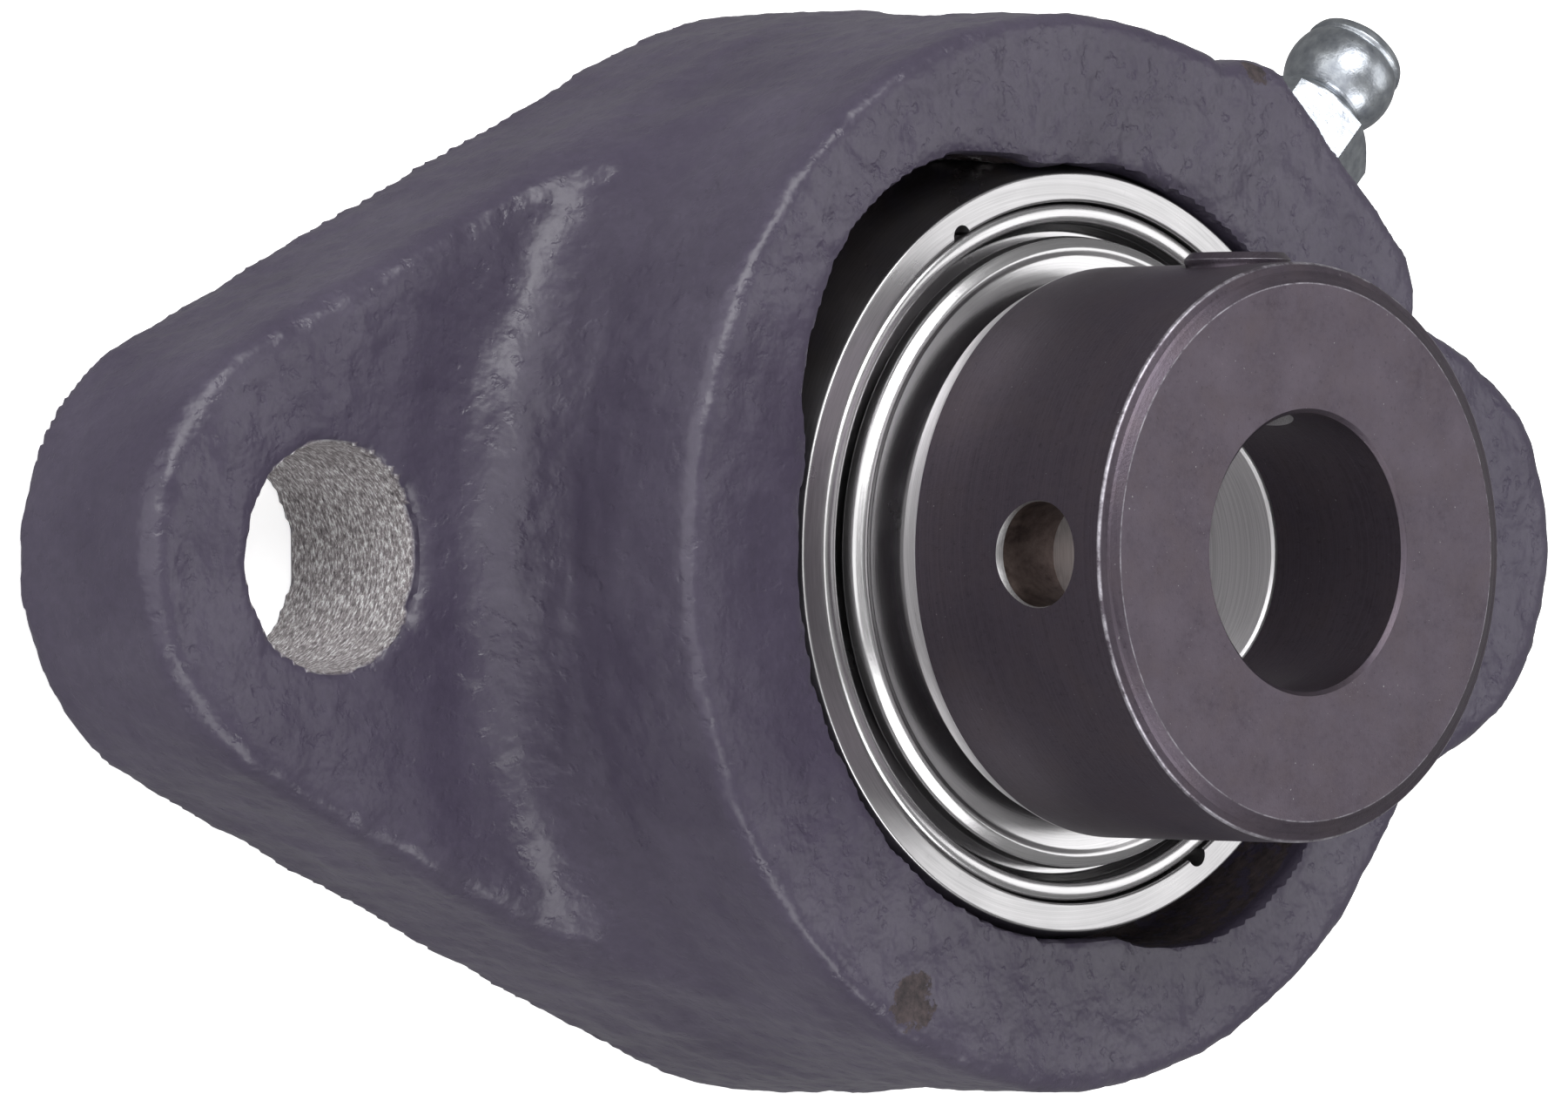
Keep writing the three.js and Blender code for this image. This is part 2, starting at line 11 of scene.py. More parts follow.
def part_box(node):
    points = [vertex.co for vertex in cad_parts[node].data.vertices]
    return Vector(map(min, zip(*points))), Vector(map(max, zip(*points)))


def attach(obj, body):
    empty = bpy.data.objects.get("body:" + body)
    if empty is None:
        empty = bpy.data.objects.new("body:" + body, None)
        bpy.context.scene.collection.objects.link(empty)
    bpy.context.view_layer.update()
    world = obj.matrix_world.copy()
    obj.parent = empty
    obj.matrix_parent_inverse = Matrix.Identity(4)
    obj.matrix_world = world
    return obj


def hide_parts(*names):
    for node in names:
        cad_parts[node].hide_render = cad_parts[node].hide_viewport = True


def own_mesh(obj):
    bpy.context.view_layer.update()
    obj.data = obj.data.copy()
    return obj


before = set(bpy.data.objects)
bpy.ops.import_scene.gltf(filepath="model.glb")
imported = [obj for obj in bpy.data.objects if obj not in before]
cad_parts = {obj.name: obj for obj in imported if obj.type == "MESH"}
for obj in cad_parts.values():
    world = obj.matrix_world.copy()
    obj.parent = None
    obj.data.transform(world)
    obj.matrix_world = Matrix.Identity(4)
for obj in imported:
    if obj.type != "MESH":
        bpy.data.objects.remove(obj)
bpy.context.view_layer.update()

MM = 0.001

# ------------------------------------------------------------------ sizes, in mm

# Housing
BOLT_AT = 89.7 / 2
BOLT_HOLE_R = 6.5
FLANGE_END_R = 13.7
FLANGE_T = 11.5
FLANGE_ROUND = 1.5                  # its rounded upper edge
BASE_FLARE = -0.25                  # an inset below zero: the walls' draft widens the base a little
HUB_BASE_R = 32.3
HUB_TOP_R = 31.7
HUB_ROUND = 1.1
HUB_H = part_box("housing")[1].z / MM
SADDLE_R = 4.5
SEAT_R = 23.6
SEAT_FRONT_R = 22.8
SEAT_BACK_R = 21.5
SLOT_R = 14.5
SLOT_OFFSET = 11.7
SLOT_ANGLES = (131, 311)
BOSS_ANGLE = 45
BOSS_FLAT = 32.85
BOSS_HALF_W = 9.1
BOSS_ROOT = 26.0
BOSS_ROOT_HALF_W = 14.5
BOSS_CORNER = 1.5
SAND = 0.45                         # voxels of the cast skin
EASE_ROUNDS = 18                    # smoothing passes where flange and hub meet
LUMPS = (                           # height, size and where the noise starts
    (0.20, 8.5, (0, 0, 0)), (0.16, 3.4, (7, 3, 1)), (0.09, 1.4, (2, 9, 4)))
PAINT_CHIPS = ((-13.9, -25.8, 1.9), (15.3, 28.9, 1.0))  # x, y and radius, on the front

# Insert bearing, measured from the middle of its ball row
MID_Z = 18.8
BALL_R = 7.938 / 2
PITCH_R = 33.5 / 2
BALLS = 8
RACE_CLEARANCE = 0.12
RACE_R = BALL_R * 1.04
OUTER_SPHERE_R = 23.5
OUTER_HALF_W = 7.5
OUTER_BORE_R = 19.3
SEAL_SEAT_R = 20.6
SEAL_SEAT_FLOOR = 4.7
NOTCH_ANGLES = (117, 299)           # the two half-round notches in each face's inner edge
NOTCH_R = 0.7
NOTCH_INSET = 0.8                   # from the ring's face to the middle of a notch
NOTCH_HALF_DEPTH = 1.2
INNER_R = 13.8
INNER_BACK = -17.4
INNER_SHOULDER = 10.8
INNER_FRONT = 15.8
SHAFT_R = 15.875 / 2
BORE_CHAMFER = 0.6
NOSE_CHAMFER = 0.15
CARRIER_R = 20.5
CARRIER_T = 0.45
CARRIER_FLOOR = 5.35
CARRIER_CROWN = 7.35
CARRIER_HEM_R = 19.35
CARRIER_EYE_R = 16.3
FLINGER_R = 18.6
FLINGER_BORE_R = 13.85
FLINGER_T = 0.5
FLINGER_FLOOR = 6.35
FLINGER_CROWN = 8.1
FLINGER_CROWN_R = 17.85
LIP_R = 13.95                       # the rubber lip stops just short of the inner ring
LIP_TOP_R = 14.55
LIP_T = 0.6

# Eccentric locking collar and its set screw, measured from the base plane
ECCENTRICITY = 0.8
STUB_R = 12.9
COUNTERBORE_R = STUB_R + 0.25
COUNTERBORE_TO = 34.9
RECESS_R = 14.15
RECESS_TO = 29.85
COLLAR_R = 33.34 / 2
COLLAR_BACK_R = 16.1
COLLAR_BACK = 28.1
COLLAR_SHOULDER = 29.6
COLLAR_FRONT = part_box("locking_collar")[1].z / MM
COLLAR_FACE_R = 15.45
COLLAR_EDGE = 0.8
COLLAR_BORE_R = 8.0
DRIFT_HOLE_R = 3.0
DRIFT_HOLE_DEPTH = 4.5
SCREW_Z = 39.4
SCREW_R = 3.1
SCREW_HOLE_R = 3.2
SCREW_TIP = 9.4
SCREW_HEAD = 17.3
SCREW_CUP_R = 2.2
SCREW_PITCH = 0.907                 # 1/4-28 thread
THREAD_DEPTH = 0.28
THREAD_CHAMFER = 0.4                # the fitting's thread has the same
SCREW_CUP_LIP = 0.3
SOCKET_R = 3.175 / math.sqrt(3)
SOCKET_DEPTH = 3.2
HOLE_RIM = 0.45                     # depth of the worn chamfer round a hole's mouth
HOLE_FLARE = 0.3

# Grease fitting, measured along its axis from the boss flat
FITTING_Z = 20.6
FITTING_THREAD_R = 3.05
FITTING_THREAD_L = 5.0
FITTING_HOLE_R = 3.15
FITTING_HOLE_DEPTH = 5.4
PASSAGE_R = 1.5
HEX_R = 7.94 / math.sqrt(3)
HEX_FROM, HEX_TO = 0.3, 3.9
FLARE_R = 3.3                       # the round shoulder between hexagon and neck
FLARE_TO = 4.6
NECK_R = 2.6
NECK_AT = 5.2
HEAD_R = 3.45
HEAD_AT = 7.75
HEAD_TIP = 10.7
FITTING_BORE_R = 1.6
FITTING_INLET_R = 1.0
FITTING_MOUTH_R = 0.85
SPRING_SHELF = 3.0
MOUTH_CONE = (9.0, 10.2)
CHECK_BALL_R = 1.25
CHECK_BALL_AT = 9.1
SPRING_R = 1.1
SPRING_WIRE_R = 0.18
SPRING_TURNS = 5
SPRING_GAP = 0.1
SPRING_STEPS = 24                   # segments in one turn of the spring

# Meshes
ROUND = 224                         # segments of the large rings
SMALL = 64
CUT_PAST = 1.0                      # how far a cutter runs past a face
ON_AXIS = 1e-6                      # a smaller radius than this lies on the axis
FILLET_STEPS = 4
THREAD_STEP = 0.11                  # longest side along the set screw, fine enough for its thread
EASE = 0.08                         # keeps a corner's shading and wear off the flat beside it


# Camera and light, in metres, degrees and watts
CAMERA_AT = (-0.4191, 0.0026, 0.4407)
CAMERA_TURN = (-0.03, -43.65, -0.35)
SENSOR = 36.0
LENS = 230.4
FLOOR_SIZE = 6.0
FLOOR_DROP = 0.02                   # in mm, so that it doesn't touch the base
FLOOR_GLOW = 0.62
WORLD = 0.28
LIGHTS = {                          # place, size and power
    "key_light": ((-0.20, 0.80, 1.05), (0.9, 0.7), 13),
    "fill_light": ((-0.10, -0.85, 1.0), (0.9, 0.6), 7),
    "front_light": ((0.9, 0.1, 0.95), (0.7, 0.7), 2.8),
    "camera_light": ((-1.25, 0.3, 0.8), (2.0, 2.0), 18),
}


# ------------------------------------------------------------------ mesh helpers

def arc(cx, cy, radius, start, stop, steps):
    """Points on an arc, from one angle to the other, in degrees."""
    angles = [math.radians(start + (stop - start) * i / steps) for i in range(steps + 1)]
    return [(cx + radius * math.cos(a), cy + radius * math.sin(a)) for a in angles]


def rounded(corners, radius=0.15):
    """A closed outline with every corner rounded; a corner may give its own radius."""
    outline = []
    for i, corner in enumerate(corners):
        here = Vector(corner[:2])
        back = Vector(corners[i - 1][:2]) - here
        ahead = Vector(corners[(i + 1) % len(corners)][:2]) - here
        turn = math.pi - back.angle(ahead)
        reach = (corner[2] if len(corner) > 2 else radius) * math.tan(turn / 2)
        reach = min(reach, 0.42 * back.length, 0.42 * ahead.length)
        ease = min(EASE, 0.1 * min(back.length, ahead.length))
        if reach < 0.01 or turn < 0.2:
            outline += [tuple(here + back.normalized() * ease), tuple(here),
                        tuple(here + ahead.normalized() * ease)]
            continue
        start, stop = here + back.normalized() * reach, here + ahead.normalized() * reach
        outline.append(tuple(start + back.normalized() * ease))
        for k in range(FILLET_STEPS + 1):
            t = k / FILLET_STEPS
            outline.append(tuple(start.lerp(here, t).lerp(here.lerp(stop, t), t)))
        outline.append(tuple(stop + ahead.normalized() * ease))
    return outline


def finely(outline, longest):
    """The same closed outline, with no side longer than this."""
    points = []
    for i, here in enumerate(outline):
        ahead = outline[(i + 1) % len(outline)]
        parts = max(1, math.ceil(math.dist(here, ahead) / longest))
        points += [tuple(Vector(here).lerp(Vector(ahead), k / parts)) for k in range(parts)]
    return points


def mesh_object(name, points, faces):
    """A closed mesh made from points in millimetres, its faces pointing out."""
    mesh = bpy.data.meshes.new(name)
    bm = bmesh.new()
    corners = [bm.verts.new(Vector(p) * MM) for p in points]
    for face in faces:
        bm.faces.new([corners[i] for i in face])
    bmesh.ops.remove_doubles(bm, verts=bm.verts, dist=1e-7)
    bmesh.ops.dissolve_degenerate(bm, edges=bm.edges, dist=1e-8)
    bmesh.ops.recalc_face_normals(bm, faces=bm.faces)
    bm.to_mesh(mesh)
    bm.free()
    piece = bpy.data.objects.new(name, mesh)
    bpy.context.scene.collection.objects.link(piece)
    return piece


def joined_rings(rings):
    """Quads between rings of the same length, each ring joined to the next."""
    count = len(rings[0])
    points = [p for ring in rings for p in ring]
    faces = []
    for k in range(len(rings) - 1):
        for i in range(count):
            j = (i + 1) % count
            faces.append((k * count + i, k * count + j, (k + 1) * count + j, (k + 1) * count + i))
    return points, faces


def lofted(name, rings):
    """Rings of the same length joined in order, and closed at both ends."""
    points, faces = joined_rings(rings)
    count = len(rings[0])
    faces.append(tuple(reversed(range(count))))
    faces.append(tuple(range(len(points) - count, len(points))))
    return mesh_object(name, points, faces)


def stacked(name, layers):
    """Outlines of the same length at rising heights, closed at both ends."""
    return lofted(name, [[(x, y, z) for x, y in outline] for z, outline in layers])


def turned(name, outline, segments=ROUND):
    """A closed outline of (radius, z) points turned about Z."""
    rings = []
    for k in range(segments + 1):
        a = 2 * math.pi * (k % segments) / segments
        rings.append([(r * math.cos(a), r * math.sin(a), z) for r, z in outline])
    points, faces = joined_rings(rings)
    kept = [f for f in faces if sum(outline[i % len(outline)][0] < ON_AXIS for i in f) < 4]
    return mesh_object(name, points, kept)


def rod(radius, z0, z1, segments=SMALL):
    """A plain round cutter along Z."""
    return turned("rod", [(0, z0), (radius, z0), (radius, z1), (0, z1)], segments)


def moved(piece, matrix):
    """Moves the mesh itself, so that the object stays at the origin."""
    piece.data.transform(matrix)
    return piece


def shifted(piece, x=0.0, y=0.0, z=0.0):
    return moved(piece, Matrix.Translation(Vector((x, y, z)) * MM))


def outward(piece, angle, z):
    """Turns what was made along +Z to point outward at an angle and a height."""
    point = Matrix.Rotation(math.radians(angle), 4, "Z") @ Matrix.Rotation(math.pi / 2, 4, "Y")
    return moved(piece, Matrix.Translation((0, 0, z * MM)) @ point)


def settled(piece):
    """Applies the piece's modifiers."""
    shown = piece.evaluated_get(bpy.context.evaluated_depsgraph_get())
    mesh = bpy.data.meshes.new_from_object(shown)
    piece.modifiers.clear()
    piece.data = mesh
    return piece


def combined(piece, operation, *others):
    """Joins, cuts or intersects the piece with others, which are used up."""
    for other in others:
        step = piece.modifiers.new(operation.lower(), "BOOLEAN")
        step.operation = operation
        step.solver = "EXACT"
        step.object = other
        settled(piece)
        bpy.data.objects.remove(other)
    return piece


def cut(piece, *cutters):
    return combined(piece, "DIFFERENCE", *cutters)


def mark_wear(piece, sharp=12):
    """Stores where the surface has an outward edge, for the materials to wear there."""
    bm = bmesh.new()
    bm.from_mesh(piece.data)
    wear = bm.verts.layers.float.new("wear")
    for edge in bm.edges:
        if len({face.material_index for face in edge.link_faces}) != 1 or len(edge.link_faces) != 2:
            continue
        turn = edge.calc_face_angle_signed(0.0)
        if turn > math.radians(sharp):
            for vert in edge.verts:
                vert[wear] = 1.0
    bm.to_mesh(piece.data)
    bm.free()


def smooth(piece, sharp=35):
    """Smooth shading, broken only where faces meet at a real corner."""
    piece.data.shade_smooth()
    piece.data.set_sharp_from_angle(angle=math.radians(sharp))


def dressed(piece, name, body, materials, stands_for):
    """Names and finishes a piece, and sets it on its body in place of its CAD node."""
    mark_wear(piece)
    smooth(piece)
    piece.name = name
    piece.data.name = name
    indices = [p.material_index for p in piece.data.polygons]
    piece.data.materials.clear()
    for material in materials:
        piece.data.materials.append(material)
    piece.data.polygons.foreach_set("material_index", [min(i, len(materials) - 1) for i in indices])
    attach(piece, body)
    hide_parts(*stands_for)
    return piece


# ------------------------------------------------------------------ materials

class Finish:
    """One material: a Principled shader and the nodes that feed it."""

    def __init__(self, name, **sockets):
        self.material = bpy.data.materials.new(name)
        self.material.use_nodes = True
        self.tree = self.material.node_tree
        self.shader = self.tree.nodes["Principled BSDF"]
        self.normal = None
        self.set(**sockets)
        self.place = self.add("ShaderNodeTexCoord").outputs["Object"]

    def feed(self, socket, value):
        if isinstance(value, bpy.types.NodeSocket):
            self.tree.links.new(value, socket)
        else:
            socket.default_value = value

    def set(self, **sockets):
        for name, value in sockets.items():
            self.feed(self.shader.inputs[name.replace("_", " ")], value)

    def add(self, kind, inputs=None, **settings):
        node = self.tree.nodes.new(kind)
        for key, value in settings.items():
            setattr(node, key, value)
        for key, value in (inputs or {}).items():
            self.feed(node.inputs[key], value)
        return node

    def sum(self, operation, a, b=0.0):
        node = self.add("ShaderNodeMath", {0: a, 1: b}, operation=operation)
        return node.outputs[0]

    def grain(self, size, detail=4.0, roughness=0.55, place=None):
        """Noise whose lumps are about this many millimetres across."""
        node = self.add("ShaderNodeTexNoise", {
            "Vector": place or self.place, "Scale": 1 / (size * MM), "Detail": detail,
            "Roughness": roughness})
        return node.outputs[0]

    def stretched(self, x, y, z):
        """Object coordinates scaled along each axis."""
        node = self.add("ShaderNodeMapping", {"Vector": self.place, "Scale": (x, y, z)})
        return node.outputs[0]

    def around(self, waviness=0.04, radial=1.0):
        """Coordinates that hardly change round the Z axis, for marks left by turning."""
        split = self.add("ShaderNodeSeparateXYZ", {"Vector": self.place}).outputs
        flat = self.add("ShaderNodeCombineXYZ", {"X": split[0], "Y": split[1]}).outputs[0]
        radius = self.add("ShaderNodeVectorMath", {0: flat}, operation="LENGTH").outputs["Value"]
        wave = self.sum("MULTIPLY", split[0], waviness)
        ring = self.sum("ADD", self.sum("MULTIPLY", radius, radial), wave)
        height = self.sum("ADD", split[2], self.sum("MULTIPLY", split[1], waviness))
        return self.add("ShaderNodeCombineXYZ", {"X": ring, "Y": height}).outputs[0]

    def ramp(self, value, *stops):
        """Colours or greys at positions from 0 to 1."""
        node = self.add("ShaderNodeValToRGB", {"Fac": value})
        marks = node.color_ramp.elements
        while len(marks) < len(stops):
            marks.new(0.5)
        for mark, (at, colour) in zip(marks, stops):
            mark.position = at
            mark.color = colour if isinstance(colour, tuple) else (colour, colour, colour, 1)
        return node.outputs["Color"]

    def mix(self, factor, a, b):
        node = self.add("ShaderNodeMix", data_type="RGBA")
        self.feed(node.inputs["Factor"], factor)
        self.feed(node.inputs[6], a)
        self.feed(node.inputs[7], b)
        return node.outputs[2]

    def between(self, factor, low, high):
        node = self.add("ShaderNodeMapRange", {"Value": factor, "To Min": low, "To Max": high})
        return node.outputs[0]

    def stored(self, name):
        return self.add("ShaderNodeAttribute", attribute_name=name).outputs["Fac"]

    def bump(self, height, depth):
        """Adds relief of this many millimetres to the surface."""
        inputs = {"Height": height, "Distance": depth * MM}
        if self.normal is not None:
            inputs["Normal"] = self.normal
        self.normal = self.add("ShaderNodeBump", inputs).outputs[0]
        self.set(Normal=self.normal)


def grey(value):
    return (value, value, value, 1)


def cast_paint():
    """Semi-gloss paint on a sand casting, with raw iron where it was machined."""
    f = Finish("painted_cast_iron", IOR=1.5, Specular_IOR_Level=0.42)
    paint = f.ramp(f.grain(9, 5), (0.3, (0.043, 0.035, 0.058, 1)), (0.7, (0.062, 0.053, 0.079, 1)))
    mottle = f.ramp(f.grain(0.6, 4, 0.7), (0.35, 0.0), (0.7, 0.35))
    paint = f.mix(mottle, paint, (0.030, 0.026, 0.041, 1))
    dust = f.ramp(f.grain(0.42, 3, 0.7), (0.735, 0.0), (0.78, 0.5))
    paint = f.mix(dust, paint, (0.20, 0.185, 0.21, 1))
    cuts = f.grain(0.17, 5, 0.75, f.stretched(0.4, 0.4, 1))
    iron = f.ramp(cuts, (0.32, (0.05, 0.043, 0.045, 1)), (0.50, (0.42, 0.38, 0.39, 1)), (0.62, grey(1.0)))
    rust = f.ramp(f.grain(0.6, 5, 0.7), (0.35, (0.022, 0.017, 0.019, 1)), (0.7, (0.070, 0.051, 0.053, 1)))
    bare = f.stored("bare")
    ragged = f.between(f.grain(1.3, 5, 0.75), -0.95, 0.95)
    chip = f.ramp(f.sum("ADD", f.stored("chip"), ragged), (0.46, 0.0), (0.54, 1.0))
    f.set(Base_Color=f.mix(chip, f.mix(bare, paint, iron), rust))
    gloss = f.between(f.grain(3.5, 4), 0.27, 0.44)
    f.set(Roughness=f.mix(chip, f.mix(bare, gloss, grey(0.40)), grey(0.7)),
          Metallic=f.sum("MULTIPLY", bare, 0.9))
    f.bump(f.grain(2.6, 3, 0.5), 0.3)
    pits = f.ramp(f.grain(0.9, 3, 0.5), (0.28, 0.0), (0.42, 1.0))
    f.bump(pits, 0.035)
    f.bump(f.grain(0.3, 3, 0.6), 0.012)
    f.bump(f.sum("MULTIPLY", cuts, bare), 0.3)
    return f.material


def turned_steel(name, value, roughness, streak=0.25, metallic=1.0, tint=(1.0, 0.985, 1.0)):
    """Bright steel with fine marks round it."""
    f = Finish(name, Metallic=metallic)
    marks = f.grain(0.09, 3, 0.6, f.around())
    clouds = f.grain(4, 4)
    low = tuple(c * value * (1 - streak) for c in tint) + (1,)
    high = tuple(min(1.0, c * value * (1 + streak)) for c in tint) + (1,)
    colour = f.mix(f.ramp(marks, (0.3, 0.0), (0.7, 1.0)), low, high)
    stain = f.ramp(f.grain(0.8, 4, 0.7), (0.66, 0.0), (0.8, 0.45))
    colour = f.mix(stain, colour, tuple(c * value * 0.5 for c in tint) + (1,))
    f.set(Base_Color=colour, Roughness=f.between(clouds, roughness * 0.8, roughness * 1.3))
    f.bump(marks, 0.003)
    f.bump(f.grain(0.25, 3, 0.6), 0.003)
    return f.material


def black_oxide():
    """Blackened steel, rubbed bright along its edges."""
    f = Finish("black_oxide_steel", Metallic=0.8)
    marks = f.grain(0.13, 4, 0.65, f.around(0.03, 0.0))
    clouds = f.grain(3.0, 5, 0.6)
    colour = f.mix(f.ramp(marks, (0.30, 0.0), (0.72, 1.0)),
                   (0.055, 0.043, 0.057, 1), (0.100, 0.082, 0.102, 1))
    mottle = f.ramp(f.grain(0.5, 5, 0.7), (0.35, 0.0), (0.65, 0.75))
    colour = f.mix(mottle, colour, (0.088, 0.074, 0.092, 1))
    pits = f.ramp(f.grain(0.3, 4, 0.7), (0.30, 0.6), (0.42, 0.0))
    colour = f.mix(pits, colour, (0.040, 0.031, 0.040, 1))
    colour = f.mix(f.ramp(clouds, (0.45, 0.0), (0.75, 0.5)), colour, (0.094, 0.074, 0.082, 1))
    specks = f.ramp(f.grain(0.22, 2, 0.6), (0.735, 0.0), (0.79, 0.8))
    colour = f.mix(specks, colour, grey(0.35))
    rub = f.sum("MULTIPLY", f.stored("wear"), f.ramp(f.grain(1.4, 5, 0.75), (0.38, 0.05), (0.62, 0.85)))
    colour = f.mix(rub, colour, (0.50, 0.48, 0.53, 1))
    f.set(Base_Color=colour, Roughness=f.between(clouds, 0.33, 0.46))
    f.bump(marks, 0.007)
    f.bump(f.grain(0.16, 4, 0.65), 0.014)
    return f.material


def bored_steel():
    """The wall of a drilled hole, brown with old oil."""
    f = Finish("drilled_steel", Metallic=1.0)
    stain = f.grain(1.2, 5, 0.65)
    colour = f.ramp(stain, (0.3, (0.060, 0.042, 0.040, 1)), (0.7, (0.19, 0.145, 0.13, 1)))
    rub = f.sum("MULTIPLY", f.stored("wear"), 0.9)
    f.set(Base_Color=f.mix(rub, colour, grey(0.8)), Roughness=f.between(stain, 0.42, 0.6))
    f.bump(f.grain(0.15, 3, 0.6), 0.01)
    return f.material


def zinc_plate():
    """Bright zinc plating, a little blue, with stains scattered at random."""
    f = Finish("zinc_plate", Metallic=1.0)
    clouds = f.grain(0.9, 5, 0.6)
    colour = f.ramp(clouds, (0.3, (0.28, 0.30, 0.34, 1)), (0.7, (0.50, 0.53, 0.56, 1)))
    spots = f.ramp(f.grain(0.28, 3, 0.6), (0.70, 0.0), (0.76, 0.85))
    colour = f.mix(spots, colour, (0.10, 0.09, 0.07, 1))
    f.set(Base_Color=colour, Roughness=f.between(f.grain(0.5, 4), 0.24, 0.44))
    f.bump(f.grain(0.45, 4, 0.6), 0.03)
    return f.material


def rubber():
    """Nitrile rubber, matt and faintly mottled."""
    f = Finish("nitrile_rubber")
    mottle = f.grain(0.8, 4)
    colour = f.ramp(mottle, (0.3, grey(0.010)), (0.7, grey(0.022)))
    f.set(Base_Color=colour, Roughness=f.between(mottle, 0.5, 0.7))
    f.bump(f.grain(0.2, 3), 0.01)
    return f.material


PAINT = cast_paint()
GROUND = turned_steel("ground_steel", 0.43, 0.28, 0.14)
BORE_STEEL = turned_steel("bored_ring_steel", 0.82, 0.5, 0.16, metallic=0.75)
PRESSED = turned_steel("pressed_seal_steel", 0.54, 0.24, 0.10)
WORN = turned_steel("worn_bright_steel", 0.72, 0.42, 0.2)
BALL_STEEL = turned_steel("polished_ball_steel", 0.72, 0.07, 0.03)
CAGE_STEEL = turned_steel("cage_steel", 0.45, 0.38, 0.15)
SPRING_STEEL = turned_steel("spring_steel", 0.5, 0.3, 0.1)
OXIDE = black_oxide()
DRILLED = bored_steel()
ZINC = zinc_plate()
RUBBER = rubber()


# ------------------------------------------------------------------ housing

def plan(inset):
    """The flange's outline, wrapped tightly round the hub and the two ends."""
    end_r, hub_r = FLANGE_END_R - inset, HUB_BASE_R - inset
    lean = math.degrees(math.asin((hub_r - end_r) / BOLT_AT))
    side = arc(BOLT_AT, 0, end_r, lean - 90, 90 - lean, 32) + arc(0, 0, hub_r, 90 - lean, 90 + lean, 32)
    return side + [(-x, -y) for x, y in side]


def boss_plan(inset):
    """The grease fitting's boss: it fans in from the hub to its flat."""
    flat, half, root_half = BOSS_FLAT - inset, BOSS_HALF_W - inset * 0.8, BOSS_ROOT_HALF_W - inset
    upper = [(flat, half - BOSS_CORNER), (flat - BOSS_CORNER / 2, half + BOSS_CORNER / 4),
             (BOSS_ROOT, root_half)]
    return [(x, -y) for x, y in reversed(upper)] + upper


def rounded_top(outline, height, radius, steps=6):
    """Layers of an outline from the base plane up, with its upper edge rounded."""
    layers = [(0, outline(0.1)), (0.4, outline(BASE_FLARE))]
    for k in range(steps + 1):
        a = math.pi / 2 * k / steps
        layers.append((height - radius + radius * math.sin(a), outline(radius * (1 - math.cos(a)))))
    return layers


def housing_blank():
    """Flange, hub, saddle and boss as one body."""
    hub_face = HUB_TOP_R - HUB_ROUND
    rim = arc(hub_face, HUB_H - HUB_ROUND, HUB_ROUND, 0, 90, 8)
    body = stacked("housing", rounded_top(plan, FLANGE_T, FLANGE_ROUND))
    hub = turned("hub", [(0, 0.6), (HUB_BASE_R - 0.2, 0.6), *rim, (0, HUB_H)])
    foot = HUB_BASE_R + SADDLE_R
    hollow = arc(foot, FLANGE_T + SADDLE_R, SADDLE_R, 270, 180, 12)
    root = (HUB_TOP_R - CUT_PAST, FLANGE_T - CUT_PAST)
    saddle = turned("saddle", [root, (foot, root[1]), *hollow, (root[0], FLANGE_T + SADDLE_R)])
    combined(saddle, "INTERSECT", stacked("limit", [(1.0, plan(0.6)), (HUB_H, plan(0.6))]))
    boss = stacked("boss", rounded_top(boss_plan, HUB_H, 1.0))
    boss = moved(boss, Matrix.Rotation(math.radians(BOSS_ANGLE), 4, "Z"))
    return combined(body, "UNION", hub, saddle, boss)


def seat_cutter():
    """The spherical seat, with its openings at the back and the front."""
    low = -math.degrees(math.acos(SEAT_BACK_R / SEAT_R))
    high = math.degrees(math.acos(SEAT_FRONT_R / SEAT_R))
    return turned("seat", [(0, -CUT_PAST), (SEAT_BACK_R, -CUT_PAST),
                           *arc(0, MID_Z, SEAT_R, low, high, 24),
                           (SEAT_FRONT_R, HUB_H + CUT_PAST), (0, HUB_H + CUT_PAST)])


def housing_cutters():
    """Everything that is hollow: the seat, loading slots, bolt holes and grease passage."""
    cutters = [seat_cutter()]
    for angle in SLOT_ANGLES:
        a = math.radians(angle)
        pocket = rod(SLOT_R, MID_Z, HUB_H + CUT_PAST, 96)
        cutters.append(shifted(pocket, SLOT_OFFSET * math.cos(a), SLOT_OFFSET * math.sin(a)))
    for side in (-1, 1):
        cutters.append(shifted(rod(BOLT_HOLE_R, -CUT_PAST, FLANGE_T + CUT_PAST), side * BOLT_AT))
    floor = BOSS_FLAT - FITTING_HOLE_DEPTH
    cutters.append(outward(rod(FITTING_HOLE_R, floor, BOSS_FLAT + CUT_PAST, 32), BOSS_ANGLE, FITTING_Z))
    passage = rod(PASSAGE_R, SEAT_FRONT_R - CUT_PAST, floor + CUT_PAST, 24)
    cutters.append(outward(passage, BOSS_ANGLE, FITTING_Z))
    return cutters


def bareness(p, n):
    """1 where the housing is machined: in its bolt holes and in the seat."""
    bolt = min(math.dist((p.x, p.y), (side * BOLT_AT, 0)) for side in (-1, 1))
    in_hole = bolt < BOLT_HOLE_R + 0.12 and abs(n.z) < 0.6
    in_seat = math.hypot(p.x, p.y) < SEAT_R + 0.1 and p.z < HUB_H - 3.2
    return 1.0 if in_hole or in_seat else 0.0


